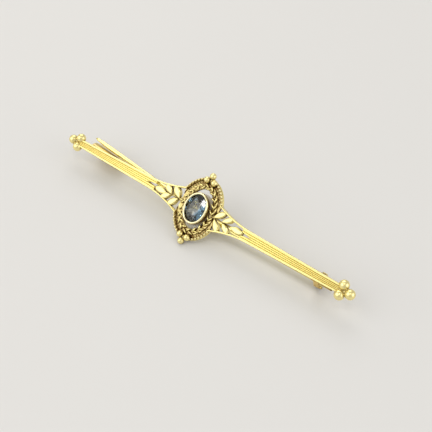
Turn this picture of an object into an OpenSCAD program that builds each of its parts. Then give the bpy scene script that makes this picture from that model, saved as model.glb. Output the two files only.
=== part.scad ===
// Bar brooch: a reeded gold bar with a navette centre, pierced leaf sprays, ball clusters,
// an oval stone in a smooth bezel, and a riveted pin with a C-shaped catch behind.
//
// The brooch is drawn flat first: x runs along the bar, y across it and z out of its face,
// from the middle of the end balls. It is then tilted about its length and lifted, so that it
// lies as it does by itself: on the near ball of the navette, the near end of the hinge and
// the foot of the catch. All sizes are in millimetres.

/* [Bar] */
// Distance between the centres of the two outermost balls
bar_span = 54; // [44:1:64]
// Half width of the bar beside the end clusters
bar_end_half = 0.65; // [0.55:0.05:0.7]
// Half width of the bar where it splits around the leaves
bar_split_half = 0.93; // [0.86:0.01:0.96]
// Height of the bar's flat face
face_z = 0.24; // [0.15:0.01:0.35]
// Height of the back
back_z = -0.6; // [-0.8:0.05:-0.5]
// Number of fine reeds between the two edge reeds
inner_reeds = 5; // [5:1:7]

/* [Navette] */
// Half width of the navette along the bar
navette_half_x = 3.95; // [3.8:0.05:4.2]
// Half height of the navette across the bar
navette_half_y = 5.1; // [4.9:0.05:5.3]
// Radius of the beads in the outer border
border_bead_r = 0.25; // [0.22:0.01:0.28]
// Width of the raised rail around the opening
inner_rail_w = 0.5; // [0.4:0.02:0.6]

/* [Balls] */
// Radius of the three balls at each end of the bar
end_ball_r = 0.79; // [0.78:0.01:0.84]
// Radius of the three balls at each tip of the navette
tip_ball_r = 0.53; // [0.5:0.01:0.56]

/* [Stone] */
// Width of the stone along the bar
stone_x = 3.5; // [3.3:0.05:3.6]
// Length of the stone across the bar
stone_y = 4.46; // [4.2:0.05:4.5]
// Height of the bezel's rim
bezel_top = 1.1; // [1:0.05:1.3]

/* [Pin] */
// Radius of the pin's wire
pin_r = 0.37; // [0.32:0.01:0.38]
// Place of the hinge along the bar
hinge_x = 21.6; // [20.5:0.1:22]
// Length of the catch along the bar
catch_len = 5.3; // [4:0.1:5.6]

/* [Pose] */
// Tilt of the brooch as it lies, about the bar's length
tilt = 41; // [38:0.5:43]

/* [Hidden] */
$fn = 96;

gold = [0.86, 0.70, 0.33];
gold_pin = [0.90, 0.78, 0.45];
stone_blue = [0.42, 0.52, 0.66, 0.8];

// Depth that a cut runs past what it cuts
past = 1;

// Bar and flare
half_span = bar_span / 2;
bar_end_x = half_span - 1.9;
split_x = 10;
flare_x = 3.3;
flare_steps = 9;
flare_rate = 0.0294;
rail_w = 0.3;
slit_x = 10.1;
slit_wide_x = [2.9, 8.6];
reed_r = 0.13;
reed_inset = 0.06;

// Sprays: the stem's two ends, then each leaf's foot x and y, angle, length and width; the left
// spray stands a little further out than the right one
stem = [2.7, 6.7];
stem_r = 0.16;
stem_z = -0.35;
leaf_top = 0.41;
leaf_back = back_z + 0.15;
left_spray_out = 0.45;
right_leaves = [[3.15, 0.07, 42, 2.2, 0.98], [3.35, -0.1, -50, 2.1, 0.94], [4.7, 0.07, 36, 2.0, 0.9],
    [4.85, -0.07, -34, 1.9, 0.9], [6.25, 0, 0, 2.4, 1]];
left_leaves = [[3.6, 0.07, 42, 2.2, 0.98], [3.8, -0.1, -50, 2.1, 0.94], [5.15, 0.07, 36, 2.0, 0.9],
    [5.3, -0.07, -34, 1.9, 0.9], [6, -0.19, 0, 2.4, 1]];

// End clusters: the two inner balls stand one pitch either side of the bar's line
end_pitch = 0.77;
end_row = [half_span - sqrt(3) * end_pitch, end_pitch];
solder_x = half_span - 0.95;
solder_r = 0.5;
solder_t = 0.6;

// Navette
rim_floor = 0;
navette_back = back_z + 0.1;
inner_half_x = 2.2;
inner_half_y = 3.3;
inner_rim_x = 2.98;
inner_rim_y = 4.12;
inner_rim_top = 0.2;
inner_rail_top = 0.36;
waist_x = 3.4;
waist_y = 2.0;
border_bead_z = 0.08;
border_pitch = 1.96 * border_bead_r;
tip_ball_y = 5.52;
tip_ball_z = 0.3;
tip_pair = [0.68, 4.66];
tip_pair_r = 0.53;

// Bezel and stone: the bezel's lip lies over the stone's edge
bezel_back = -0.95;
bezel_out_x = stone_x / 2 + 0.3;
bezel_out_y = stone_y / 2 + 0.34;
lip_t = 0.16;
lip_x = 1.5;
lip_y = 2.08;
girdle_z = bezel_top - 0.42;
girdle_t = 0.1;
crown_t = 0.4;
pavilion_t = 1.35;
culet_d = 0.3;
table_share = 0.56;
facet_t = 0.02;
seat_gap = 0.03;
seat_deep = 0.35;
bridge_x = 2.25;
bridge = [0.9, 0.8, 0.5];

// Hinge: the far knuckle, the pin's eye and the near knuckle lie side by side across the bar
barrel_r = 0.6;
rivet_r = 0.24;
rivet_gap = 0.03;
far_knuckle = [-0.38, 0.52];
eye = [-1.26, -0.46];
near_knuckle = [-1.66, -1.34];
plate_t = 0.28;
plate_x = [-0.7, 2.7];
plate_y = [-0.94, 0.5];
web_half = 0.42;
web_sunk = 0.1;
shoulder = 0.35;
arm_w = 0.4;
rivet_head_r = 0.4;
rivet_head_t = 0.14;
head_gap = 0.03;

// How the brooch lies
lift = tip_ball_r + tip_ball_y * sin(tilt) - tip_ball_z * cos(tilt);
hinge_z = barrel_r - (lift + near_knuckle[0] * sin(tilt)) / cos(tilt);
centre_y = tip_ball_z * sin(tilt);

// Catch: a sheet bent to a long C, turned in plan so that it runs along the pin
catch_x = -21.05;
catch_y = -0.14;
catch_turn = -5.5;
catch_r = 1.15;
catch_sheet = 0.36;
catch_foot = 0.4;
catch_lip_end = 130;
catch_top_z = back_z - catch_r + 0.1;
catch_low_y = catch_y + catch_len / 2 * sin(catch_turn);
catch_low_z = (catch_r - lift - catch_low_y * sin(tilt)) / cos(tilt);

// Pin: straight from the hinge, then bowed, then straight to the point
pin_drop = 0.22;
pin_y = (eye[0] + eye[1]) / 2;
root_slope = 1.2;
bow_angle = 7.05;
bow_roll = 26;
bow_r = 146;
root_len = 11.1;
tip_len = 10.9;
taper_len = 5.5;
point_r = 0.12;
bow_lap = 0.3;
bow_step = 0.01;

// Half width of the openwork and its rails at a place along the bar
function flare(x) = bar_split_half + flare_rate * pow(split_x - x, 2);

// Even steps from one place along the bar to another
function places(from, to) = [for (i = [0 : flare_steps]) from + (to - from) * i / flare_steps];

// Angles at which beads stand one pitch apart along an ellipse
function bead_angles(a, b, pitch, from, to) =
    [for (t = from; t < to; t = t + pitch * 180 / PI / norm([a * sin(t), b * cos(t)])) t];

// Places the flat brooch as it lies
module lying() {
    translate([0, centre_y, lift]) rotate([tilt, 0, 0]) children();
}

module both_ends() {
    children();
    mirror([1, 0, 0]) children();
}

module oval(a, b, h) {
    scale([a / b, 1, 1]) cylinder(r = b, h = h);
}

module bar_outline() {
    xs = places(flare_x, split_x);
    polygon(concat(
        [for (x = xs) [x, flare(x)]],
        [[bar_end_x, bar_end_half], [bar_end_x, -bar_end_half]],
        [for (i = [flare_steps : -1 : 0]) [xs[i], -flare(xs[i])]]));
}

// Opening between the two rails, closing to a point where the bar is whole
module spray_opening() {
    xs = places(slit_wide_x[0], slit_wide_x[1]);
    polygon(concat(
        [for (x = xs) [x, flare(x) - rail_w]],
        [[slit_x, 0]],
        [for (i = [flare_steps : -1 : 0]) [xs[i], -flare(xs[i]) + rail_w]]));
}

module reeds() {
    count = inner_reeds + 2;
    run = bar_end_x - split_x;
    for (i = [0 : count - 1]) {
        share = 2 * i / (count - 1) - 1;
        y0 = share * (bar_split_half - reed_r - reed_inset);
        y1 = share * (bar_end_half - reed_r - reed_inset / 2);
        translate([split_x, y0, face_z])
            rotate([0, 90, atan2(y1 - y0, run)])
                cylinder(r = reed_r, h = norm([run, y1 - y0]), $fn = 24);
    }
}

// One leaf, its foot at the origin and its point at the given length along x
module leaf(length, width) {
    side_r = (pow(length / 2, 2) + pow(width / 2, 2)) / width;
    crown_r = width;
    intersection() {
        translate([0, 0, leaf_back]) linear_extrude(leaf_top - leaf_back + past) {
            intersection() {
                translate([length / 2, side_r - width / 2]) circle(side_r);
                translate([length / 2, width / 2 - side_r]) circle(side_r);
            }
            translate([length - width * 0.48, 0]) circle(width * 0.34);
        }
        translate([-past, 0, leaf_top - crown_r])
            rotate([0, 90, 0]) cylinder(r = crown_r, h = length + 2 * past);
    }
}

module spray(leaves, out) {
    translate([stem[0] + out, 0, stem_z])
        rotate([0, 90, 0]) cylinder(r = stem_r, h = stem[1] - stem[0], $fn = 24);
    for (l = leaves)
        translate([l[0], l[1], 0]) rotate([0, 0, l[2]]) leaf(l[3], l[4]);
}

// Three balls and the solder between them
module end_cluster() {
    for (at = [[half_span, 0], end_row, [end_row[0], -end_row[1]]])
        translate([at[0], at[1], 0]) sphere(end_ball_r);
    translate([solder_x, 0, -solder_t / 2]) cylinder(r = solder_r, h = solder_t, $fn = 24);
}

module half_bar() {
    thick = face_z - back_z;
    difference() {
        translate([0, 0, back_z]) linear_extrude(thick) bar_outline();
        translate([0, 0, back_z - past]) linear_extrude(thick + 2 * past) spray_opening();
    }
    reeds();
    end_cluster();
}

module border_beads() {
    a = navette_half_x - border_bead_r;
    b = navette_half_y - border_bead_r;
    start = asin((waist_y + 0.05) / b);
    for (half = [0, 180])
        for (t = bead_angles(a, b, border_pitch, start + half, 180 - start + half))
            translate([a * cos(t), b * sin(t), border_bead_z]) sphere(border_bead_r, $fn = 32);
}

module navette() {
    difference() {
        translate([0, 0, navette_back]) {
            oval(navette_half_x, navette_half_y, rim_floor - navette_back);
            oval(inner_rim_x, inner_rim_y, inner_rim_top - navette_back);
            oval(inner_half_x + inner_rail_w, inner_half_y + inner_rail_w, inner_rail_top - navette_back);
        }
        translate([0, 0, navette_back - past])
            oval(inner_half_x, inner_half_y, inner_rail_top - navette_back + 2 * past);
        for (side = [-1, 1])
            translate([side * (waist_x + 2 * past), 0, 0])
                cube([4 * past, 2 * waist_y, 4 * past], center = true);
    }
    border_beads();
    for (side = [-1, 1]) {
        translate([0, side * tip_ball_y, tip_ball_z]) sphere(tip_ball_r);
        for (x = [-tip_pair[0], tip_pair[0]])
            translate([x, side * tip_pair[1], tip_ball_z]) sphere(tip_pair_r);
    }
}

module bezel() {
    difference() {
        translate([0, 0, bezel_back]) oval(bezel_out_x, bezel_out_y, bezel_top - bezel_back);
        translate([0, 0, bezel_back - past]) oval(lip_x, lip_y, bezel_top - bezel_back + 2 * past);
        translate([0, 0, girdle_z - seat_deep])
            oval(stone_x / 2 + seat_gap, stone_y / 2 + seat_gap, bezel_top - lip_t - girdle_z + seat_deep);
    }
    for (side = [-1, 1])
        translate([side * bridge_x, 0, -bridge[2] / 2]) cube(bridge, center = true);
}

module knuckle(span) {
    translate([hinge_x, span[1], hinge_z])
        rotate([90, 0, 0]) cylinder(r = barrel_r, h = span[1] - span[0]);
}

module rivet_hole() {
    translate([hinge_x, far_knuckle[1] + past, hinge_z]) rotate([90, 0, 0])
        cylinder(r = rivet_r + rivet_gap, h = far_knuckle[1] - near_knuckle[0] + 2 * past);
}

// The near knuckle's arm leans out from the plate and clears the eye
module near_arm() {
    foot = [plate_y[0], back_z - plate_t / 2];
    shoulder_z = hinge_z + barrel_r + shoulder;
    translate([hinge_x - web_half, 0, 0]) rotate([90, 0, 90]) linear_extrude(2 * web_half) polygon([
        foot + [arm_w, 0], foot, [near_knuckle[0], shoulder_z], [near_knuckle[0], hinge_z],
        [near_knuckle[1], hinge_z], [near_knuckle[1], shoulder_z]]);
}

module hinge() {
    difference() {
        union() {
            translate([hinge_x + plate_x[0], plate_y[0], back_z - plate_t])
                cube([plate_x[1] - plate_x[0], plate_y[1] - plate_y[0], plate_t + web_sunk]);
            knuckle(far_knuckle);
            translate([hinge_x - web_half, far_knuckle[0], hinge_z])
                cube([2 * web_half, far_knuckle[1] - far_knuckle[0], back_z - web_sunk - hinge_z]);
            knuckle(near_knuckle);
            near_arm();
        }
        rivet_hole();
    }
}

// Long C in section, open towards the near side
module catch_section() {
    inner_r = catch_r - catch_sheet;
    tall = catch_top_z - catch_low_z;
    far = 3 * catch_r;
    difference() {
        union() {
            translate([0, catch_top_z]) circle(catch_r);
            translate([0, catch_low_z]) circle(catch_r);
            translate([0, catch_low_z]) square([catch_r, tall]);
        }
        union() {
            translate([0, catch_top_z]) circle(inner_r);
            translate([0, catch_low_z]) circle(inner_r);
            translate([-seat_gap, catch_low_z]) square([inner_r + seat_gap, tall]);
        }
        translate([-far, catch_low_z]) square([far, tall + catch_r + past]);
        translate([0, catch_low_z]) rotate(catch_lip_end) square([far, far]);
    }
    translate([-catch_foot, catch_top_z + inner_r]) square([catch_foot + bow_lap, catch_sheet]);
}

module catch() {
    translate([catch_x, catch_y, 0]) rotate([0, 0, catch_turn])
        translate([-catch_len / 2, 0, 0])
            rotate([90, 0, 90]) linear_extrude(catch_len) catch_section();
}

module brooch_frame() {
    color(gold) lying() {
        both_ends() half_bar();
        spray(right_leaves, 0);
        mirror([1, 0, 0]) spray(left_leaves, left_spray_out);
        navette();
        bezel();
        hinge();
        catch();
    }
}

module stone() {
    color(stone_blue) lying() scale([stone_x / stone_y, 1, 1]) hull() {
        translate([0, 0, girdle_z])
            rotate([0, 0, 11.25]) cylinder(d = stone_y, h = girdle_t, $fn = 16);
        translate([0, 0, girdle_z + girdle_t + crown_t - facet_t])
            cylinder(d = stone_y * table_share, h = facet_t, $fn = 8);
        translate([0, 0, girdle_z - pavilion_t])
            cylinder(d = culet_d, h = facet_t, $fn = 8);
    }
}

// Straight outer half of the pin: a round wire that tapers to its point
module pin_tip() {
    rotate([0, -90, 0]) rotate_extrude() polygon([
        [0, -bow_lap], [pin_r, -bow_lap], [pin_r, tip_len],
        [pin_r * 0.98, tip_len + taper_len * 0.35], [pin_r * 0.88, tip_len + taper_len * 0.65],
        [pin_r * 0.64, tip_len + taper_len * 0.93],
        [point_r, tip_len + taper_len], [0, tip_len + taper_len]]);
}

module pin() {
    color(gold_pin) lying() difference() {
        union() {
            knuckle(eye);
            translate([hinge_x, pin_y, hinge_z - pin_drop])
                rotate([0, root_slope, 0]) rotate([bow_roll, 0, 0]) {
                rotate([0, -90, 0]) cylinder(r = pin_r, h = root_len + bow_lap);
                translate([-root_len, bow_r, 0]) rotate([0, 0, -90 - bow_angle])
                    rotate_extrude(angle = bow_angle, $fn = 360)
                        translate([bow_r, 0]) circle(pin_r + bow_step, $fn = 48);
                translate([-root_len - bow_r * sin(bow_angle), bow_r * (1 - cos(bow_angle)), 0])
                    rotate([0, 0, -bow_angle]) pin_tip();
            }
        }
        rivet_hole();
    }
}

module hinge_rivet() {
    head_z = -rivet_head_t - head_gap;
    shaft = far_knuckle[1] - near_knuckle[0];
    color(gold) lying() translate([hinge_x, far_knuckle[1], hinge_z]) rotate([90, 0, 0]) {
        translate([0, 0, head_z]) cylinder(r = rivet_r, h = shaft - head_z);
        translate([0, 0, head_z]) cylinder(r = rivet_head_r, h = rivet_head_t);
    }
}

brooch_frame();
stone();
pin();
hinge_rivet();
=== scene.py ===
# %% [markdown]
# # A bar brooch, step by step
# The finished thing is a gold bar, 54 mm long between the middles of its end balls. Two pierced
# leaf sprays widen into a pointed oval plate, the navette, which carries one oval stone in a
# smooth bezel. Behind it are a riveted pin and a bent catch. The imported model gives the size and
# the place of everything; the cells below build the fine work that is seen, in the same frame.

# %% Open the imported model
import math

import bmesh
import bpy
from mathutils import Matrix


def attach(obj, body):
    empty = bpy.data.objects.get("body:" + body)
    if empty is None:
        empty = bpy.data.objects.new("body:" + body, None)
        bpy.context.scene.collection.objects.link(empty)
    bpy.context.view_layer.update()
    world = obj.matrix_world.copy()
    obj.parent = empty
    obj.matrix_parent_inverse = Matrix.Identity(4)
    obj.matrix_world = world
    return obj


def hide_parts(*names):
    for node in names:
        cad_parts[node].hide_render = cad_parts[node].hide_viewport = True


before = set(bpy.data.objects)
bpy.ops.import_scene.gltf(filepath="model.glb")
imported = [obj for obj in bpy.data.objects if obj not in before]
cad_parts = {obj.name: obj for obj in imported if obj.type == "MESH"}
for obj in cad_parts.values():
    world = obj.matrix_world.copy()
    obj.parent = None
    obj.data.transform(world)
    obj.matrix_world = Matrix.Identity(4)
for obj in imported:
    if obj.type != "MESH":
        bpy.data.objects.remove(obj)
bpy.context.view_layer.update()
print("packed nodes:", sorted(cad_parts))

# %% [markdown]
# ## How the brooch lies
# A brooch put down on its back doesn't lie flat. It rests on the near tip of the navette, the
# hinge and the foot of the catch, so it leans by 41 degrees, with the middle of its face about
# 4 mm up. It could be modelled in that place, but then every height would have the lean in it.
# It is far easier to model it flat and in millimetres, with x along the bar, y across it and z
# out of its face. Each piece is leaned and shrunk to metres only when it is finished.

# %% Working frame
MM = 0.001
TILT = math.radians(41.0)
LIFT, CENTRE_Y = 3.925, 0.1968


def flat_to_world(x, y, z):
    return (x * MM, (CENTRE_Y + y * math.cos(TILT) - z * math.sin(TILT)) * MM,
            (LIFT + y * math.sin(TILT) + z * math.cos(TILT)) * MM)


print("middle of the face:", [round(v, 5) for v in flat_to_world(0, 0, 0)])

# %% [markdown]
# ## Camera
# The photograph was taken from the near right and above. A camera set by eye would hide errors
# in the shapes, so its place, turn and lens were solved from the middles of the balls, the tips
# of the navette and the ends of the bar. The render can then be laid over the picture.

# %% Camera
SENSOR_MM, LENS_MM = 36.0, 60.765
CAMERA_PLACE = (0.050641, -0.058171, 0.085214)
CAMERA_TURN = (42.9405, 0.8732, 37.9466)

eye = bpy.data.cameras.new("camera")
eye.sensor_width, eye.lens = SENSOR_MM, LENS_MM
eye.clip_start = MM
camera = bpy.data.objects.new("camera", eye)
bpy.context.scene.collection.objects.link(camera)
camera.location = CAMERA_PLACE
camera.rotation_euler = [math.radians(angle) for angle in CAMERA_TURN]
bpy.context.scene.camera = camera
print("camera stands", round(camera.location.length / MM), "mm away")

# %% [markdown]
# ## Floor
# The brooch lies on plain pale paper. One flat colour would read as empty space, and a strong
# pattern would pull the eye from a thing this small, so two near greys are mixed by a broad
# noise and the paper stays almost matt. A material is a chain of small nodes, and written out
# each of them takes three or four lines. So `added` makes a node and fills its inputs at once:
# a plain value is set on an input, and the output of another node is linked to it.

# %% Paper
PAPER_SCALE = 9.0
PAPER_GREY, PAPER_PALE = (0.69, 0.68, 0.66, 1), (0.72, 0.71, 0.69, 1)


def feed(tree, socket, value):
    if isinstance(value, bpy.types.NodeSocket):
        tree.links.new(value, socket)
    else:
        socket.default_value = value


def added(tree, kind, settings=None, **inputs):
    made = tree.nodes.new(kind)
    for label, value in (settings or {}).items():
        setattr(made, label, value)
    for label, value in inputs.items():
        feed(tree, made.inputs[label.replace("_", " ")], value)
    return made


def noise(tree, where, scale, detail):
    made = added(tree, "ShaderNodeTexNoise", Vector=where, Scale=scale, Detail=detail)
    return made.outputs["Fac"]


def mixed(tree, share, first, second):
    made = added(tree, "ShaderNodeMix", {"data_type": "RGBA"}, Factor=share, A=first, B=second)
    return made.outputs["Result"]


def new_material(name):
    made = bpy.data.materials.new(name)
    made.use_nodes = True
    return made, made.node_tree, made.node_tree.nodes["Principled BSDF"]


paper, tree, shader = new_material("pale_paper")
where = added(tree, "ShaderNodeTexCoord").outputs["Object"]
tint = mixed(tree, noise(tree, where, PAPER_SCALE, 3.0), PAPER_GREY, PAPER_PALE)
feed(tree, shader.inputs["Base Color"], tint)
shader.inputs["Roughness"].default_value = 0.6
shader.inputs["Specular IOR Level"].default_value = 0.25
print("paper nodes:", len(tree.nodes))


# %% Floor
def nothing_selected():
    if bpy.context.mode != "OBJECT":
        bpy.ops.object.mode_set(mode="OBJECT")
    bpy.ops.object.select_all(action="DESELECT")


nothing_selected()
bpy.ops.mesh.primitive_grid_add(x_subdivisions=8, y_subdivisions=8, size=1.6)
floor = bpy.context.object
floor.name = "floor"
floor.data.materials.append(paper)
print("floor is", round(floor.dimensions.x, 2), "m wide")

# %% [markdown]
# ## Light
# Polished gold has little to show of its own: it mirrors what stands around it, and one lamp
# alone would leave most of it black. Four soft lamps give it more to mirror. The widest stands
# at the near left and lights the face, one at the far left draws the bright lines on the far
# edges, one at the right fills the sides that are turned away, and a very small one overhead
# makes the white spark on the stone. The pale surround stays well below full strength, so that
# the recesses are dark and the relief reads.

# %% Surround
world = bpy.data.worlds.new("surround")
bpy.context.scene.world = world
world.use_nodes = True
surround = world.node_tree.nodes["Background"]
surround.inputs["Color"].default_value = (0.95, 0.94, 0.92, 1)
surround.inputs["Strength"].default_value = 0.62
bpy.context.scene.view_settings.view_transform = "Standard"
print("surround strength:", round(surround.inputs["Strength"].default_value, 2))


# %% Lamps
def soft_lamp(name, place, size, watts, colour=(1, 1, 1), target=(0, 0, 0)):
    lamp = bpy.data.lights.new(name, "AREA")
    lamp.shape = "RECTANGLE"
    lamp.size, lamp.size_y = size
    lamp.energy = watts
    lamp.color = colour
    holder = bpy.data.objects.new(name, lamp)
    bpy.context.scene.collection.objects.link(holder)
    holder.location = place
    way = [t - p for t, p in zip(target, place)]
    level = math.hypot(way[0], way[1])
    holder.rotation_euler = (math.atan2(level, -way[2]), 0,
                             math.atan2(way[1], way[0]) - math.pi / 2)


soft_lamp("near_left", (-0.20, -0.26, 0.26), (0.44, 0.40), 0.75, colour=(1.0, 0.99, 0.97))
soft_lamp("far_left", (-0.20, 0.24, 0.30), (0.32, 0.26), 0.50, colour=(1.0, 0.98, 0.95))
soft_lamp("right_hand", (0.30, 0.06, 0.13), (0.26, 0.20), 0.26, target=(0, 0, 0.01))
soft_lamp("overhead", (0.079, -0.077, 0.336), (0.05, 0.05), 0.08, target=(0, 0, 0.004))

# %% [markdown]
# ## Gold: age, and the shade painted into it
# Old gold work is never one colour. Where fingers and cloths reach, it is polished pale and
# bright; in the corners a brown film stays, and here the same film is also the painted shade
# that falls into corners and gaps. Painting that by hand would take a map for each piece, so it
# is one node group that works on any shape: an ambient occlusion mask finds the corners, a
# level paints shade over all that lies below a given height, noise breaks up the film in the
# corners, and the group puts out the colour, the roughness and a height for the fine wipe marks.

# %% Sockets of the group
def new_group(name, inputs, outputs):
    group = bpy.data.node_groups.new(name, "ShaderNodeTree")
    for way, sockets in (("INPUT", inputs), ("OUTPUT", outputs)):
        for label, kind in sockets.items():
            group.interface.new_socket(name=label, in_out=way, socket_type="NodeSocket" + kind)
    given = group.nodes.new("NodeGroupInput").outputs
    put_out = group.nodes.new("NodeGroupOutput").inputs
    return group, given, put_out


wear_and_shade_group, given, put_out = new_group(
    "worn_and_shaded_gold",
    {"Vector": "Vector", "Bright": "Color", "Film": "Color", "Reach": "Float",
     "Roughness": "Float", "Spread": "Float", "Grip": "Float", "Level": "Float"},
    {"Color": "Color", "Roughness": "Float", "Height": "Float"})
print("worn_and_shaded_gold takes", [s.name for s in given if s.name])

# %% Inside the group
PATCH_SCALE, PATCH_SHARE = 900.0, 0.35
FILM_SHADE_FROM, FILM_SHADE_TO, OPEN_FACE = 0.17, 1.1, 0.95
# Painted shade below the level: how soft its edge is and how dark it gets.
SHADE_EDGE, LOW_SHADE = 0.15 * MM, 0.85
FILM_DULLS, WIPE_SCALE = 0.16, 4200.0


def worked_out(tree, operation, *values):
    made = added(tree, "ShaderNodeMath", {"operation": operation})
    for socket, value in zip(made.inputs, values):
        feed(tree, socket, value)
    return made.outputs["Value"]


def ramp(tree, value, low, high, start=0.0, end=1.0, soft=False):
    made = added(tree, "ShaderNodeMapRange",
                 {"interpolation_type": "SMOOTHSTEP" if soft else "LINEAR"},
                 Value=value, From_Min=low, From_Max=high, To_Min=start, To_Max=end)
    return made.outputs["Result"]


# Patina and painted shade: ambient occlusion finds the corners that get the brown film.
corners = added(wear_and_shade_group, "ShaderNodeAmbientOcclusion", {"samples": 8}, Distance=given["Spread"])
depth = ramp(wear_and_shade_group, corners.outputs["AO"], given["Grip"], OPEN_FACE, start=1.0, end=0.0)
patches = noise(wear_and_shade_group, given["Vector"], PATCH_SCALE, 4.0)
broken = worked_out(wear_and_shade_group, "MULTIPLY_ADD", patches, PATCH_SHARE, depth)
film_and_shade_mask = ramp(wear_and_shade_group, broken, FILM_SHADE_FROM, FILM_SHADE_TO)
height = added(wear_and_shade_group, "ShaderNodeSeparateXYZ", Vector=given["Vector"]).outputs["Z"]
# Painted shade: all that lies below the level gets nearly the full film.
over_level = worked_out(wear_and_shade_group, "SUBTRACT", height, given["Level"])
shade_below_level = ramp(wear_and_shade_group, over_level, -SHADE_EDGE, SHADE_EDGE, start=LOW_SHADE, end=0.0, soft=True)
most = worked_out(wear_and_shade_group, "MAXIMUM", film_and_shade_mask, shade_below_level)
film_and_shade = worked_out(wear_and_shade_group, "MULTIPLY", most, given["Reach"])
# The film mixed in here is patina and painted shade together.
feed(wear_and_shade_group, put_out["Color"], mixed(wear_and_shade_group, film_and_shade, given["Bright"], given["Film"]))
dulled = worked_out(wear_and_shade_group, "MULTIPLY_ADD", broken, FILM_DULLS, given["Roughness"])
feed(wear_and_shade_group, put_out["Roughness"], dulled)
feed(wear_and_shade_group, put_out["Height"], noise(wear_and_shade_group, given["Vector"], WIPE_SCALE, 3.0))
print("worn_and_shaded_gold nodes:", len(wear_and_shade_group.nodes))

# %% [markdown]
# ## The gold finishes
# Every piece was handled in its own way, and the parts behind the bar lie in shade, so one
# finish for all would look cast. Every finish places the group with its own values. `reach`
# says how much film and painted shade there is at most, `spread` how wide a corner is, `grip`
# how tight it has to be for the full film, and `level` the height in millimetres below which
# the piece is painted in shade. The wipe marks run along the bar, so the Mapping node turns the
# pattern to the lean of the face, and on long pieces it stretches it along x.

# %% Recipe and first finish
WIPE_DEPTH, NO_SHADE_LEVEL = 0.02 * MM, -1000.0
# The cream is partly painted highlight: a paler copy of the lemon gold, for the relief and the
# polished pieces.
HIGHLIGHT_CREAM, BRONZE_FILM_SHADE = (0.96, 0.83, 0.35, 1), (0.16, 0.075, 0.02, 1)


def gold_finish(name, bright, film_and_shade, reach, roughness, marks, stretch=(1, 1, 1),
                spread=0.55 * MM, grip=0.25, level=NO_SHADE_LEVEL):
    finish, tree, shader = new_material(name)
    where = added(tree, "ShaderNodeTexCoord").outputs["Object"]
    turned = added(tree, "ShaderNodeMapping", Vector=where, Rotation=(-TILT, 0, 0),
                   Scale=stretch)
    flat_zero = LIFT * math.cos(TILT) - CENTRE_Y * math.sin(TILT)
    # The level is the height below which the piece is painted in shade.
    wear = added(tree, "ShaderNodeGroup", {"node_tree": wear_and_shade_group}, Vector=turned.outputs["Vector"],
                 Bright=bright, Film=film_and_shade, Reach=reach, Roughness=roughness, Spread=spread,
                 Grip=grip, Level=(level + flat_zero) * MM)
    bump = added(tree, "ShaderNodeBump", Strength=marks, Distance=WIPE_DEPTH,
                 Height=wear.outputs["Height"])
    shader.inputs["Metallic"].default_value = 1.0
    feed(tree, shader.inputs["Base Color"], wear.outputs["Color"])
    feed(tree, shader.inputs["Roughness"], wear.outputs["Roughness"])
    feed(tree, shader.inputs["Normal"], bump.outputs["Normal"])
    return finish


polished = gold_finish("polished_gold", HIGHLIGHT_CREAM, BRONZE_FILM_SHADE, reach=0.75, roughness=0.20, marks=0.2,
                       stretch=(0.25, 1, 1))
print("first finish:", polished.name)

# %% The other gold finishes
LEMON, PALE, BALL = (0.96, 0.82, 0.27, 1), (0.96, 0.84, 0.36, 1), (0.97, 0.84, 0.38, 1)
STRAW, SILVERY = (0.98, 0.87, 0.46, 1), (0.98, 0.89, 0.55, 1)
# Painted shade: these two darker golds paint the hinge and the catch in the shade behind the bar.
SHADED_DULL_GOLD, SHADED_HONEY_GOLD = (0.80, 0.58, 0.18, 1), (0.86, 0.68, 0.29, 1)
# Film colours: brown patina in the corners, which also paints the shade there.
OCHRE_FILM_SHADE, TAN_FILM_SHADE, AMBER_FILM_SHADE = (0.34, 0.20, 0.04, 1), (0.36, 0.22, 0.07, 1), (0.20, 0.12, 0.04, 1)
BROWN_FILM_SHADE, UMBER_FILM_SHADE = (0.09, 0.04, 0.012, 1), (0.15, 0.07, 0.018, 1)

relief = gold_finish("relief_gold", HIGHLIGHT_CREAM, BRONZE_FILM_SHADE, reach=1.0, roughness=0.22, marks=0.3)
# Painted shade: a dark umber film, wide and quick to grip, darkens the gaps of the navette plate
# and of its grains.
gap_shaded_gold = gold_finish("gap_shaded_gold", HIGHLIGHT_CREAM, UMBER_FILM_SHADE, reach=1.0, roughness=0.18, marks=0.25,
                        spread=0.8 * MM, grip=0.45)
bead_gold = gold_finish("bead_gold", STRAW, BRONZE_FILM_SHADE, reach=0.45, roughness=0.16, marks=0.15)
# Painted shade: the whole bezel below its rim, at 0.92 mm, gets the dark amber film.
bezel_gold_shaded_collar = gold_finish("bezel_gold_shaded_collar", SILVERY, AMBER_FILM_SHADE, reach=0.9, roughness=0.16, marks=0.2,
                         level=0.92)
ball_gold = gold_finish("ball_gold", BALL, BRONZE_FILM_SHADE, reach=0.75, roughness=0.28, marks=0.2)
bar_gold = gold_finish("reeded_gold", LEMON, OCHRE_FILM_SHADE, reach=0.9, roughness=0.18, marks=0.2,
                       stretch=(0.03, 1.3, 1), spread=0.4 * MM, grip=0.5)
wire_gold = gold_finish("pin_wire_gold", PALE, TAN_FILM_SHADE, reach=0.5, roughness=0.16, marks=0.3,
                        stretch=(0.15, 1, 1))
# Painted shade: the hinge is a darker gold with a wide brown film, as it lies in shade under the
# bar.
shaded_back_gold = gold_finish("shaded_back_gold", SHADED_DULL_GOLD, BROWN_FILM_SHADE, reach=1.0, roughness=0.30, marks=0.6,
                        spread=1.2 * MM, grip=0.5)
# Painted shade: the catch is a darker honey gold under a full brown film, as it lies in shade
# behind the bar.
shaded_catch_gold = gold_finish("shaded_catch_gold", SHADED_HONEY_GOLD, BROWN_FILM_SHADE, reach=1.0, roughness=0.32, marks=0.6)
print("materials so far:", [m.name for m in bpy.data.materials])

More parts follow.
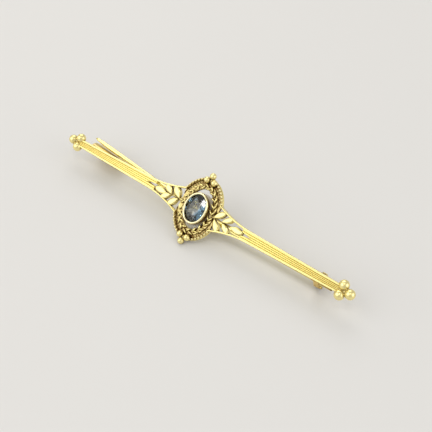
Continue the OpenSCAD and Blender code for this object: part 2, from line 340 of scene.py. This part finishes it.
# %% [markdown]
# ## Edge wires
# A goldsmith finishes the bar with a wire soldered along each edge; near the middle the two
# wires part and curve out to frame the leaves. A bevelled curve would make a round wire, but
# this one is flat below, where it is soldered down. So a round end has its lower half pulled
# down to the back and is extruded from place to place along the curve. `started` adds a
# primitive with nothing else selected, `placed` moves it and applies the move to its mesh, and
# `pick` selects points by their place, as a modeller would with a box.

# %% Round end of a wire
SPLIT_X, BAR_END_X, WIRE_START_X = 10.0, 25.3, 3.25
SPLIT_HALF, END_HALF, FLARE = 0.93, 0.65, 0.0294
WIRE_R, WIRE_TOP = 0.15, 0.37


def edge_of_bar(x):
    if x <= SPLIT_X:
        return SPLIT_HALF + FLARE * (SPLIT_X - x) ** 2
    return SPLIT_HALF + (END_HALF - SPLIT_HALF) * (x - SPLIT_X) / (BAR_END_X - SPLIT_X)


def only(piece):
    nothing_selected()
    piece.select_set(True)
    bpy.context.view_layer.objects.active = piece


def started(primitive, **values):
    nothing_selected()
    primitive(**values)
    return bpy.context.object


def placed(piece, location=(0, 0, 0), rotation=(0, 0, 0), scale=(1, 1, 1)):
    only(piece)
    piece.location, piece.rotation_euler, piece.scale = location, rotation, scale
    bpy.ops.object.transform_apply(location=True, rotation=True, scale=True)
    return piece


wire = started(bpy.ops.mesh.primitive_circle_add, vertices=16, radius=WIRE_R, fill_type="NGON")
placed(wire, (WIRE_START_X, edge_of_bar(WIRE_START_X) - WIRE_R, WIRE_TOP - WIRE_R),
       (0, math.pi / 2, 0))
print("points of the wire's end:", len(wire.data.vertices))

# %% Wire along one edge
BACK_Z, TOUCH = -0.6, 0.01
CURVE_STEP, CURVE_STEPS = 0.45, 15


def edit_only(piece):
    only(piece)
    bpy.ops.object.mode_set(mode="EDIT")
    bpy.ops.mesh.select_mode(type="VERT")


def pick(test):
    cage = bmesh.from_edit_mesh(bpy.context.object.data)
    bpy.ops.mesh.select_all(action="DESELECT")
    count = 0
    for point in cage.verts:
        point.select = bool(test(point.co))
        count += point.select
    cage.select_flush(True)
    bmesh.update_edit_mesh(bpy.context.object.data)
    return count


def moved(x, y, z):
    bpy.ops.transform.translate(value=(x, y, z))


def extruded(x, y, z):
    bpy.ops.mesh.extrude_region_move(TRANSFORM_OT_translate={"value": (x, y, z)})


wire_places = [WIRE_START_X + i * CURVE_STEP for i in range(CURVE_STEPS)]
wire_places += [SPLIT_X, 12.0, 16.0, 20.0, BAR_END_X]
edit_only(wire)
pick(lambda p: p.z < WIRE_TOP - WIRE_R - TOUCH)
moved(0, 0, BACK_Z + 2 * WIRE_R - WIRE_TOP)
bpy.ops.mesh.select_all(action="SELECT")
for x0, x1 in zip(wire_places, wire_places[1:]):
    extruded(x1 - x0, edge_of_bar(x1) - edge_of_bar(x0), 0)
nothing_selected()
print("points of the whole wire:", len(wire.data.vertices))

# %% [markdown]
# ## Finishing a piece
# The bar has four such wires, and three of them are mirrored copies. `lay` then ends this piece
# and every later one. The lean could stay a setting of the object, but the export wants every
# object at the origin and unturned, so it is applied to the mesh.

# %% Four edge wires
def copy_of(piece):
    only(piece)
    bpy.ops.object.duplicate(linked=False)
    return bpy.context.object


def joined(pieces):
    only(pieces[0])
    for piece in pieces:
        piece.select_set(True)
    if len(pieces) > 1:
        bpy.ops.object.join()
    return bpy.context.object


def outward(piece, merge=0.002):
    edit_only(piece)
    bpy.ops.mesh.select_all(action="SELECT")
    bpy.ops.mesh.remove_doubles(threshold=merge)
    bpy.ops.mesh.normals_make_consistent(inside=False)
    nothing_selected()


def lay(piece, name, finish, smooth=40, body="brooch", node="brooch_frame", fix=True):
    if fix:
        outward(piece)
    piece.name = piece.data.name = name
    placed(piece, (0, CENTRE_Y * MM, LIFT * MM), (TILT, 0, 0), (MM, MM, MM))
    if smooth:
        bpy.ops.object.shade_smooth_by_angle(angle=math.radians(smooth))
    piece.data.materials.clear()
    piece.data.materials.append(finish)
    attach(piece, body)
    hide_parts(node)
    print(name, "triangles:", sum(len(f.vertices) - 2 for f in piece.data.polygons))
    nothing_selected()


mirrored = [placed(copy_of(wire), scale=(sx, sy, 1)) for sx, sy in ((1, -1), (-1, 1), (-1, -1))]
lay(joined([wire] + mirrored), "edge_wires", polished)

# %% [markdown]
# ## Reeded bar
# Between the wires the face is drawn or rolled with fine lengthwise reeds. A bump in the
# material would vanish at a low angle, so they are modelled. A grid gives the face: its rows
# are lifted to round crests, six rows to a reed, its columns are narrowed to the taper, and the
# sheet is extruded down and flattened to make the back. The pointed opening at the inner end
# is cut with a wedge.

# %% Reeded sheet
REEDS, ROWS_EACH, COLUMNS = 5, 6, 24
REED_RISE, REED_ROUND = 0.085, 0.8
INNER_X, FACE_Z, SHEET_BACK_Z = 8.45, 0.24, BACK_Z + 0.02


def resized(x, y, z, about=(0, 0, 0)):
    bpy.ops.transform.resize(value=(x, y, z), center_override=about)


rows = REEDS * ROWS_EACH
sheet = started(bpy.ops.mesh.primitive_grid_add, x_subdivisions=COLUMNS, y_subdivisions=rows,
                size=2)
edit_only(sheet)
bpy.ops.mesh.select_all(action="SELECT")
resized((BAR_END_X - INNER_X) / 2, 1, 1)
moved((BAR_END_X + INNER_X) / 2, 0, FACE_Z)
for row in range(rows + 1):
    y = -1 + 2 * row / rows
    crest = abs(math.sin(math.pi * row / ROWS_EACH)) ** REED_ROUND
    if pick(lambda p: abs(p.y - y) < TOUCH):
        moved(0, 0, REED_RISE * crest)
for column in range(COLUMNS + 1):
    x = INNER_X + (BAR_END_X - INNER_X) * column / COLUMNS
    if pick(lambda p: abs(p.x - x) < TOUCH):
        resized(1, edge_of_bar(x) - WIRE_R, 1, about=(x, 0, 0))
bpy.ops.mesh.select_all(action="SELECT")
extruded(0, 0, SHEET_BACK_Z - FACE_Z)
resized(1, 1, 0, about=(0, 0, SHEET_BACK_Z))
outward(sheet)
print("one reed is", round(2 * (SPLIT_HALF - WIRE_R) / REEDS, 2), "mm wide where the wires part")

# %% Pointed opening and second side
WEDGE_TIP_X, WEDGE_LONG, WEDGE_HALF = SPLIT_X + 0.15, 1.9, 0.62


def modifier(piece, kind, **values):
    only(piece)
    given_to = piece.modifiers.new(kind.lower(), kind)
    for key, value in values.items():
        setattr(given_to, key, value)
    bpy.ops.object.modifier_apply(modifier=given_to.name)
    return piece


def cut_away(piece, cutter):
    modifier(piece, "BOOLEAN", operation="DIFFERENCE", object=cutter, solver="EXACT")
    bpy.data.objects.remove(cutter)


wedge = started(bpy.ops.mesh.primitive_cylinder_add, vertices=3, radius=1.0, depth=3)
placed(wedge, (WEDGE_TIP_X - WEDGE_LONG, 0, 0), (0, 0, -math.pi / 2), (WEDGE_HALF, WEDGE_LONG, 1))
cut_away(sheet, wedge)
other_side = placed(copy_of(sheet), scale=(-1, 1, 1))
lay(joined([sheet, other_side]), "reeded_bar", bar_gold, smooth=50)

# %% [markdown]
# ## Leaf sprays
# The leaves are sawn from the plate and domed, each with a vein down the middle. A flat cut-out
# with a bevel would look stamped; a sphere has the dome already, and its poles can be the foot
# and the tip. So one leaf starts as a sphere on its side. Its rings are narrowed towards the
# foot, a groove is pressed along the top, and the lower half is drawn down to a flat back.

# %% One leaf
LEAF_TOP, LEAF_EDGE, LEAF_BACK = 0.41, 0.2, -0.45
LEAF_SIDES, LEAF_RINGS = 20, 12
FOOT_SLIM, FOOT_THIN, FULL_FROM = 0.34, 0.7, 0.6
VEIN_FROM, VEIN_TO, VEIN_OVER, VEIN_DEEP = 0.08, 0.9, 0.05, 0.08

leaf = started(bpy.ops.mesh.primitive_uv_sphere_add, segments=LEAF_SIDES, ring_count=LEAF_RINGS,
               radius=0.5)
placed(leaf, (0.5, 0, 0), (0, math.pi / 2, 0))
edit_only(leaf)
for ring in range(1, LEAF_RINGS):
    x = 0.5 - 0.5 * math.cos(math.pi * ring / LEAF_RINGS)
    slim = FOOT_SLIM + (1 - FOOT_SLIM) * math.sin(math.pi / 2 * min(1.0, x / FULL_FROM))
    if pick(lambda p: abs(p.x - x) < TOUCH / 2):
        resized(1, slim, FOOT_THIN + (1 - FOOT_THIN) * slim, about=(x, 0, 0))
pick(lambda p: abs(p.y) < TOUCH and p.z > VEIN_OVER and VEIN_FROM < p.x < VEIN_TO)
moved(0, 0, -VEIN_DEEP)
pick(lambda p: p.z < -TOUCH)
resized(1, 1, 0, about=(0, 0, (LEAF_BACK - LEAF_EDGE) / (LEAF_TOP - LEAF_EDGE) / 2))
nothing_selected()
print("leaf points:", len(leaf.data.vertices))

# %% [markdown]
# ## Two sprays of five
# A row of a table is one leaf: the x and y of its foot, its angle in degrees, its length and
# its width. The sprays were sawn by hand, so the left one is not a mirror image: it stands a
# little further out and its leaves are fuller. A mirror modifier would have lost that.

# %% The two sprays
LEAF_FULL = 1.08
RIGHT_SPRAY = [(3.15, 0.07, 42, 2.2, 0.98), (3.35, -0.10, -50, 2.1, 0.94),
               (4.7, 0.07, 36, 2.0, 0.90), (4.85, -0.07, -34, 1.9, 0.90),
               (6.25, 0.0, 0, 2.4, 1.0)]
LEFT_SPRAY = [(3.6, 0.07, 42, 2.17, 1.12), (3.8, -0.10, -48, 2.0, 1.04),
              (5.15, 0.07, 33, 1.9, 1.06), (5.3, -0.07, -34, 1.82, 1.0),
              (6.0, -0.19, 0, 2.4, 1.1)]

leaves = []
for side, spray in ((1, RIGHT_SPRAY), (-1, LEFT_SPRAY)):
    for x, y, angle, length, width in spray:
        one = placed(copy_of(leaf), scale=(length, width * LEAF_FULL, 2 * (LEAF_TOP - LEAF_EDGE)))
        placed(one, (x, y, LEAF_EDGE), (0, 0, math.radians(angle)))
        leaves.append(placed(one, scale=(side, 1, 1)))
bpy.data.objects.remove(leaf)
lay(joined(leaves), "leaf_sprays", relief, smooth=35)

# %% [markdown]
# ## Stems
# Each spray has one stem, a fine wire that thins towards the last leaf and bends a little from
# leaf to leaf. A curve with a tapered bevel would do as well; a small face extruded six times
# and shrunk each time stays a plain mesh, which is easy to copy and to mirror.

# %% Stems
STEM_R, STEM_Z, STEM_DEEP, STEM_TAPER = 0.17, -0.1, 1.5, 0.93
LEFT_STEM_OUT = 0.45
stem_places = [(2.6, 0.0), (3.3, 0.05), (4.1, 0.0), (4.8, -0.05), (5.5, 0.0), (6.2, 0.04),
               (6.9, 0.0)]

stem = started(bpy.ops.mesh.primitive_circle_add, vertices=12, radius=STEM_R, fill_type="NGON")
placed(stem, (stem_places[0][0], 0, STEM_Z), (0, math.pi / 2, 0), (STEM_DEEP, 1, 1))
edit_only(stem)
bpy.ops.mesh.select_all(action="SELECT")
for (x0, y0), (x1, y1) in zip(stem_places, stem_places[1:]):
    extruded(x1 - x0, y1 - y0, 0)
    bpy.ops.transform.resize(value=(1, STEM_TAPER, STEM_TAPER))
left_stem = placed(placed(copy_of(stem), (LEFT_STEM_OUT, 0, 0)), scale=(-1, 1, 1))
lay(joined([stem, left_stem]), "leaf_stems", relief)

# %% [markdown]
# ## Navette plate
# The middle is an oval plate with a pointed look, pierced around the stone. Its section is a
# low outer wall, a sunk channel and a flat inner ledge with eased edges. Cut with booleans,
# such a section comes out with rough steps, so it is lofted: an oval is drawn once, then
# extruded and resized from ring to ring, and the last ring is bridged to the first. A row of
# a table is one ring: its half width, its half length and its height. Where the leaf sprays
# join the plate, its waist is cut straight.

# %% Lofted plate
OUTER_WALL = [(3.86, 5.01, -0.5), (3.95, 5.1, -0.42), (3.95, 5.1, -0.06), (3.9, 5.05, 0.0)]
CHANNEL = [(3.58, 4.73, 0.0), (3.52, 4.67, -0.08), (3.48, 4.63, -0.22), (3.1, 4.26, -0.22)]
LEDGE = [(3.06, 4.21, -0.1), (3.0, 4.14, -0.03), (2.2, 3.36, -0.03)]
OPENING = [(2.14, 3.3, -0.08), (2.14, 3.3, -0.5)]


def on_ring(p, ring):
    off_oval = abs((p.x / ring[0]) ** 2 + (p.y / ring[1]) ** 2 - 1)
    return abs(p.z - ring[2]) < 1e-4 and off_oval < 1e-3


def oval_loft(rings, points=128):
    piece = started(bpy.ops.mesh.primitive_circle_add, vertices=points, radius=1.0,
                    fill_type="NOTHING")
    edit_only(piece)
    bpy.ops.mesh.select_all(action="SELECT")
    resized(rings[0][0], rings[0][1], 1)
    moved(0, 0, rings[0][2])
    for (a0, b0, z0), (a1, b1, z1) in zip(rings, rings[1:]):
        extruded(0, 0, z1 - z0)
        resized(a1 / a0, b1 / b0, 1, about=(0, 0, z1))
    pick(lambda p: on_ring(p, rings[0]) or on_ring(p, rings[-1]))
    bpy.ops.mesh.select_mode(type="EDGE")
    bpy.ops.mesh.bridge_edge_loops()
    nothing_selected()
    return piece


navette = oval_loft(OUTER_WALL + CHANNEL + LEDGE + OPENING)
outward(navette)
print("navette is", [round(side, 2) for side in navette.dimensions], "mm before the cut")

# %% Straight waist
WAIST_X, CUTTER = 3.4, (2.0, 4.0, 4.0)

for side in (1, -1):
    cutter = started(bpy.ops.mesh.primitive_cube_add, size=1)
    cut_away(navette, placed(cutter, (side * (WAIST_X + CUTTER[0] / 2), 0, 0), scale=CUTTER))
lay(navette, "navette_plate", gap_shaded_gold, smooth=45)

# %% [markdown]
# ## Small work on the plate
# Three kinds of small work lie on the plate: a row of dots on the outer wall, a wheat-ear
# border on the ledge, which is two rows of long grains that slant against each other, and tiny
# grains on the floor of the channel. A goldsmith solders them on one by one. Here one grain, a
# low sphere squeezed to an oval, is copied along an ellipse, each copy turned to follow it.
# Equal angles would crowd the copies at the tips, so the steps are measured along the curve.
# A row of the ears' table is its shift outwards, its slant in degrees, the length of its grains
# and their height.

# %% Even steps along an oval
DOT_A, DOT_B, DOT_PITCH, WAIST_HALF = 3.72, 4.87, 0.56, 2.1
STEPS_PER_RADIAN = 400


def oval_places(a, b, pitch, begin=0.0, end=2 * math.pi):
    steps = max(1, round((end - begin) * STEPS_PER_RADIAN))
    length, marks, last = 0.0, [], None
    for i in range(steps + 1):
        t = begin + (end - begin) * i / steps
        here = (a * math.cos(t), b * math.sin(t))
        if last:
            length += math.dist(here, last)
        marks.append((length, t))
        last = here
    count = max(1, round(length / pitch))
    places, at = [], 0
    for k in range(count):
        wanted = length * (k + 0.5) / count
        while marks[at][0] < wanted:
            at += 1
        places.append(marks[at][1])
    return places


def round_both_tips(a, b, pitch, skip):
    return [t for half in (0, math.pi)
            for t in oval_places(a, b, pitch, half + skip, half + math.pi - skip)]


dot_places = round_both_tips(DOT_A, DOT_B, DOT_PITCH, math.asin(WAIST_HALF / DOT_B))
print("places for dots:", len(dot_places))

# %% Dots on the outer wall
DOT_OUT, DOT_Z, DOT_LONG, DOT_WIDE, DOT_HIGH = 0.02, 0.12, 0.42, 0.36, 0.54
GRAIN_FOOT, GRAIN_DRAWN_IN = 0.2, 0.9


def grain(length, width, height, slant=0):
    one = started(bpy.ops.mesh.primitive_ico_sphere_add, subdivisions=2, radius=1.0)
    placed(one, scale=(length / 2, width / 2, height / 2))
    edit_only(one)
    pick(lambda p: p.z < -height * GRAIN_FOOT)
    bpy.ops.transform.resize(value=(GRAIN_DRAWN_IN, GRAIN_DRAWN_IN, 1))
    return placed(one, rotation=(0, 0, math.radians(slant)))


def row_of(one, a, b, z, places):
    copies = []
    for t in places:
        along = math.atan2(b * math.cos(t), -a * math.sin(t))
        copies.append(placed(copy_of(one), (a * math.cos(t), b * math.sin(t), z), (0, 0, along)))
    bpy.data.objects.remove(one)
    return joined(copies)


dot = grain(DOT_LONG, DOT_WIDE, DOT_HIGH)
dots = row_of(dot, DOT_A + DOT_OUT, DOT_B + DOT_OUT, DOT_Z, dot_places)
lay(dots, "outer_rope", bead_gold)

# %% Wheat-ear border on the ledge
EAR_A, EAR_B, EAR_PITCH, EAR_WIDE, EAR_HIGH = 2.57, 3.72, 1.0, 0.31, 0.5
EAR_ROWS = [(-0.21, 42, 0.98, 0.14), (0.2, -34, 1.04, 0.12)]

ears = []
for shift, slant, length, z in EAR_ROWS:
    a, b = EAR_A + shift, EAR_B + shift
    ear = grain(length, EAR_WIDE, EAR_HIGH, slant)
    ears.append(row_of(ear, a, b, z, oval_places(a, b, EAR_PITCH)))
lay(joined(ears), "wheat_border", polished)

# %% Grains on the floor of the channel
SEED_A, SEED_B, SEED_Z, SEED_PITCH, SEED_SKIP = 3.3, 4.46, -0.2, 0.42, 0.42
SEED_LONG, SEED_WIDE, SEED_HIGH = 0.24, 0.2, 0.22

seed_places = round_both_tips(SEED_A, SEED_B, SEED_PITCH, SEED_SKIP)
seed = grain(SEED_LONG, SEED_WIDE, SEED_HIGH)
lay(row_of(seed, SEED_A, SEED_B, SEED_Z, seed_places), "channel_grain", gap_shaded_gold)

# %% [markdown]
# ## Ball clusters
# Three shot balls end the bar, and three smaller ones crown each tip of the navette. Solder
# flows into the gaps between them, which bare spheres would never show. The balls and the small
# pads of solder below them are joined and remeshed to a fine even skin, which welds them, and a
# few rounds of smoothing draw the small fillets that solder leaves. A row for a ball is its
# middle and radius, and a row for a pad its middle, radius and depth.

# %% Balls at the ends of the bar
END_R, END_HALF_PITCH, HALF_SPAN, END_VOXEL = 0.79, 0.77, 27.0, 0.055


def soldered_balls(balls, pads, voxel):
    parts = []
    for x, y, z, r in balls:
        ball = started(bpy.ops.mesh.primitive_uv_sphere_add, segments=40, ring_count=24, radius=r)
        parts.append(placed(ball, (x, y, z)))
    for x, y, z, r, depth in pads:
        pad = started(bpy.ops.mesh.primitive_cylinder_add, vertices=24, radius=r, depth=depth)
        parts.append(placed(pad, (x, y, z)))
    cluster = modifier(joined(parts), "REMESH", mode="VOXEL", voxel_size=voxel)
    return modifier(cluster, "SMOOTH", factor=0.5, iterations=3)


row_x = HALF_SPAN - math.sqrt(3) * END_HALF_PITCH
end_balls = [(HALF_SPAN, 0, 0, END_R), (row_x, END_HALF_PITCH, 0, END_R),
             (row_x, -END_HALF_PITCH, 0, END_R)]
end_pads = [(HALF_SPAN - 0.9, 0, -0.1, 0.42, 0.6), (row_x - 0.45, 0, -0.1, 0.5, 0.7)]
end_right = soldered_balls(end_balls, end_pads, END_VOXEL)
end_left = placed(copy_of(end_right), scale=(-1, 1, 1))
lay(joined([end_right, end_left]), "end_clusters", ball_gold, smooth=60)

# %% Balls at the tips of the navette
TIP_R, TIP_Y, TIP_Z, TIP_VOXEL = 0.53, 5.52, 0.3, 0.045
TIP_ROW_Y, TIP_HALF_PITCH = 4.66, 0.68

tips = []
for side in (1, -1):
    tip_balls = [(0, side * TIP_Y, TIP_Z, TIP_R),
                 (-TIP_HALF_PITCH, side * TIP_ROW_Y, TIP_Z, TIP_R),
                 (TIP_HALF_PITCH, side * TIP_ROW_Y, TIP_Z, TIP_R)]
    tip_pads = [(0, side * 4.95, -0.1, 0.4, 0.5)]
    tips.append(soldered_balls(tip_balls, tip_pads, TIP_VOXEL))
lay(joined(tips), "tip_clusters", ball_gold, smooth=60)

# %% [markdown]
# ## Bezel
# The stone sits in a plain collar whose rim is rubbed over its edge with a burnisher, so the
# rim is narrow, soft and bright. A bevel would round both sides of the rim alike, and here the
# outer side is the higher and rounder one. So it is lofted like the navette: up the outside,
# over the rim, under the lip, down the seat and through the open back. Two bridges hold it.

# %% Bezel
COLLAR = [(2.02, 2.54, -0.93), (2.05, 2.57, -0.86), (2.05, 2.57, 0.74), (2.03, 2.55, 0.92)]
RIM = [(1.98, 2.50, 1.03), (1.91, 2.44, 1.09), (1.83, 2.37, 1.10), (1.73, 2.28, 1.06),
       (1.67, 2.22, 0.99), (1.66, 2.21, 0.945)]
SEAT = [(1.78, 2.28, 0.9), (1.78, 2.28, 0.34), (1.52, 2.08, 0.32), (1.52, 2.08, -0.9)]
BRIDGE_X, BRIDGE_Z, BRIDGE_SIZE, BRIDGE_ROUND = 2.25, -0.25, (0.9, 0.8, 0.5), 0.08

bezel_parts = [oval_loft(COLLAR + RIM + SEAT, points=96)]
for side in (1, -1):
    bridge = started(bpy.ops.mesh.primitive_cube_add, size=1)
    placed(bridge, (side * BRIDGE_X, 0, BRIDGE_Z), scale=BRIDGE_SIZE)
    bezel_parts.append(modifier(bridge, "BEVEL", width=BRIDGE_ROUND, segments=2))
lay(joined(bezel_parts), "bezel_cup", bezel_gold_shaded_collar, smooth=50)

# %% [markdown]
# ## Hinge
# On the back, a plate carries two knuckles, and the pin's eye turns between them on a rivet.
# Each knuckle is two rings bridged to a flat washer and extruded, which leaves the bore open
# without a boolean. The webs, the leaning arm and the plate are blocks drawn to size, with
# their edges broken by a small bevel, as a file leaves them.

# %% Knuckles
HINGE_X, KNUCKLE_R, BORE_R, KNUCKLE_SIDES = 21.6, 0.6, 0.27, 40
NEAR_Y0, NEAR_Y1, FAR_Y0, FAR_Y1 = -1.66, -1.34, -0.38, 0.52
FILED, PLATE_FILED = 0.03, 0.05
HINGE_Z = KNUCKLE_R - (LIFT + NEAR_Y0 * math.sin(TILT)) / math.cos(TILT)


def knuckle(y0, y1):
    piece = started(bpy.ops.mesh.primitive_circle_add, vertices=KNUCKLE_SIDES,
                    radius=KNUCKLE_R, fill_type="NOTHING")
    edit_only(piece)
    bpy.ops.mesh.primitive_circle_add(vertices=KNUCKLE_SIDES, radius=BORE_R, fill_type="NOTHING")
    bpy.ops.mesh.select_all(action="SELECT")
    bpy.ops.mesh.bridge_edge_loops()
    bpy.ops.mesh.select_all(action="SELECT")
    extruded(0, 0, y1 - y0)
    placed(piece, (HINGE_X, y1, HINGE_Z), (math.pi / 2, 0, 0))
    return modifier(piece, "BEVEL", width=FILED, segments=2, limit_method="ANGLE")


knuckles = [knuckle(FAR_Y0, FAR_Y1), knuckle(NEAR_Y0, NEAR_Y1)]
print("hinge line at z", round(HINGE_Z, 3), "mm in the flat frame")

# %% Plate, webs and leaning arm
PLATE_LOW = (HINGE_X - 0.7, -0.94, BACK_Z - 0.28)
PLATE_HIGH = (HINGE_X + 2.7, 0.5, BACK_Z + 0.05)
WEB_X0, WEB_X1, WEB_Z = HINGE_X - 0.42, HINGE_X + 0.42, HINGE_Z + 0.4
FAR_WEB_TOP, NEAR_WEB_TOP = BACK_Z - 0.15, HINGE_Z + 0.96
ARM_LOW, ARM_HIGH, ARM_LEAN = HINGE_Z + 0.9, BACK_Z - 0.12, 0.74


def block(low, high, lean=0.0, filed=FILED):
    size = [h - w for w, h in zip(low, high)]
    middle = [(w + h) / 2 for w, h in zip(low, high)]
    piece = placed(started(bpy.ops.mesh.primitive_cube_add, size=1), middle, scale=size)
    if lean:
        edit_only(piece)
        pick(lambda p: p.z > high[2] - TOUCH)
        moved(0, lean, 0)
    return modifier(piece, "BEVEL", width=filed, segments=2)


plate = block(PLATE_LOW, PLATE_HIGH, filed=PLATE_FILED)
far_web = block((WEB_X0, FAR_Y0, WEB_Z), (WEB_X1, FAR_Y1, FAR_WEB_TOP))
near_web = block((WEB_X0, NEAR_Y0, WEB_Z), (WEB_X1, NEAR_Y1, NEAR_WEB_TOP))
near_arm = block((WEB_X0, NEAR_Y0, ARM_LOW), (WEB_X1, NEAR_Y1, ARM_HIGH), lean=ARM_LEAN)
hinge_parts = [plate] + knuckles + [far_web, near_web, near_arm]
lay(joined(hinge_parts), "hinge_plate_and_knuckles", shaded_back_gold, smooth=40, fix=False)

# %% [markdown]
# ## Catch
# The catch is one strip of sheet bent to a long C; the pin springs in behind its lip. It is
# made the way the sheet is bent: a strip of edge is spun round the upper bend, drawn down, and
# spun round the lower bend. A boolean of two rounded blocks would leave an uneven wall, while
# Solidify gives it the sheet's thickness all the way round, and a bevel breaks its edges.

# %% Strip of the catch
CATCH_X, CATCH_Y, CATCH_TURN, CATCH_LONG = -21.05, -0.14, math.radians(-5.5), 5.3
BEND_R, SHEET, FLANGE, SUNK = 1.15, 0.36, 0.4, 0.1
UPPER_BEND, LOWER_BEND = math.radians(90), math.radians(140)

top_z = BACK_Z - BEND_R + SUNK
low_y = CATCH_Y + CATCH_LONG / 2 * math.sin(CATCH_TURN)
low_z = (BEND_R - LIFT - low_y * math.sin(TILT)) / math.cos(TILT)
catch = started(bpy.ops.mesh.primitive_plane_add, size=1)
placed(catch, (0, -FLANGE / 2, top_z + BEND_R - SHEET / 2), scale=(CATCH_LONG, FLANGE, 1))
edit_only(catch)
pick(lambda p: p.y > -TOUCH)
bpy.ops.mesh.spin(steps=10, angle=UPPER_BEND, center=(0, 0, top_z), axis=(1, 0, 0))
extruded(0, 0, low_z - top_z)
bpy.ops.mesh.spin(steps=16, angle=LOWER_BEND, center=(0, 0, low_z), axis=(1, 0, 0))
nothing_selected()
print("catch reaches y", round(max(v.co.y for v in catch.data.vertices), 2), "on the far side")

# %% Sheet of the catch
CATCH_FILED, SHARP = 0.06, math.radians(50)

outward(catch)
modifier(catch, "SOLIDIFY", thickness=SHEET, offset=0.0)
modifier(catch, "BEVEL", width=CATCH_FILED, segments=2, limit_method="ANGLE", angle_limit=SHARP)
placed(catch, (CATCH_X, CATCH_Y, 0), (0, 0, CATCH_TURN))
lay(catch, "catch", shaded_catch_gold, smooth=35)

# %% [markdown]
# ## Stone
# A faceted oval: a flat table, eight star and eight main facets on the crown, a thin girdle and
# a deep pavilion. Each facet could be cut with a bisect; it is quicker to set the corners, ring
# by ring, and let the convex hull draw the flat facets between them. A row of the table is one
# ring: its count of corners, its radius, its height and its turn in degrees. The stone is drawn
# round and then squeezed to its oval, as a cutter's chart is.

# %% Stone
GIRDLE_Z, STONE_WIDE, STONE_LONG, STONE_GAP = 0.68, 3.5, 4.46, 0.01
STONE_RINGS = [(8, 0.56, 0.50, 0.0), (8, 0.82, 0.315, 22.5), (16, 1.0, 0.10, 11.25),
               (16, 1.0, 0.0, 11.25), (8, 0.60, -0.62, 22.5), (8, 0.07, -1.34, 0.0)]

stone = started(bpy.ops.mesh.primitive_circle_add, vertices=8, radius=1.0, fill_type="NOTHING")
edit_only(stone)
bpy.ops.mesh.delete(type="VERT")
for count, radius, height, turn in STONE_RINGS:
    bpy.ops.mesh.primitive_circle_add(vertices=count, radius=radius, fill_type="NOTHING",
                                      location=(0, 0, height),
                                      rotation=(0, 0, math.radians(turn)))
bpy.ops.mesh.select_all(action="SELECT")
bpy.ops.mesh.convex_hull()
bpy.ops.mesh.select_all(action="SELECT")
bpy.ops.mesh.dissolve_limited(angle_limit=math.radians(1.0))
placed(stone, (0, 0, GIRDLE_Z), scale=(STONE_WIDE / 2 - STONE_GAP, STONE_LONG / 2 - STONE_GAP, 1))
print("facets:", len(stone.data.polygons))

# %% [markdown]
# ## Stone finish
# The stone is a pale sapphire: nearly clear and grey, with fine cloudy silk inside and one blue
# zone that grew on one side of the crystal. Volume colour would be truer but slow and hard to
# place, so the colour is put on the skin: a soft gradient across the stone, bent by noise,
# mixes grey and blue, and a second noise lays pale patches that are the silk and also paint the
# bright sparkle of the facets. Glass keeps plain values for metallic and transmission.

# %% Sapphire
SMOKE, SILK_AND_SPARKLE, BLUE = (0.10, 0.11, 0.10, 1), (0.80, 0.82, 0.74, 1), (0.14, 0.46, 1.0, 1)
ZONE_LEAN, ZONE_BEND, ZONE_FROM, ZONE_TO = -0.35, 1.2, 1.1, 1.7
VEIL_SCALE, SILK_SPARKLE_SCALE, SILK_SPARKLE_FROM, SILK_SPARKLE_TO = 0.9, 1.5, 0.46, 0.6

sapphire, tree, shader = new_material("pale_sapphire")
shader.inputs["Metallic"].default_value = 0.0
shader.inputs["Transmission Weight"].default_value = 1.0
shader.inputs["IOR"].default_value = 1.77
where = added(tree, "ShaderNodeTexCoord").outputs["Object"]
in_stone = added(tree, "ShaderNodeMapping", {"vector_type": "TEXTURE"}, Vector=where,
                 Location=flat_to_world(0, 0, GIRDLE_Z), Rotation=(TILT, 0, 0),
                 Scale=(MM, MM, MM)).outputs["Vector"]
veil = noise(tree, in_stone, VEIL_SCALE, 2.0)
axes = added(tree, "ShaderNodeSeparateXYZ", Vector=in_stone)
across = worked_out(tree, "MULTIPLY_ADD", axes.outputs["Y"], ZONE_LEAN, axes.outputs["X"])
bent = worked_out(tree, "MULTIPLY_ADD", veil, ZONE_BEND, across)
zone = ramp(tree, bent, ZONE_FROM, ZONE_TO, soft=True)
# Pale patches: the silk of the stone, and painted sparkle of its facets.
silk_and_sparkle = ramp(tree, noise(tree, in_stone, SILK_SPARKLE_SCALE, 2.0), SILK_SPARKLE_FROM, SILK_SPARKLE_TO, soft=True)
grey = mixed(tree, silk_and_sparkle, SMOKE, SILK_AND_SPARKLE)
feed(tree, shader.inputs["Base Color"], mixed(tree, zone, grey, BLUE))
feed(tree, shader.inputs["Roughness"], ramp(tree, veil, 0.0, 1.0, start=0.0, end=0.03))
lay(stone, "oval_stone", sapphire, smooth=0, node="stone")

# %% [markdown]
# ## Pin and rivet
# The pin and the rivet are plain turned and drawn forms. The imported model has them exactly, so
# a second model could only be worse: they stay as they are and only take their finish.

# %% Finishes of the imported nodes
for node, finish in (("pin", wire_gold), ("hinge_rivet", polished)):
    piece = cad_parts[node]
    piece.data.materials.clear()
    piece.data.materials.append(finish)
    only(piece)
    bpy.ops.object.shade_smooth_by_angle(angle=math.radians(35))
    print(node, "is finished in", finish.name)
nothing_selected()
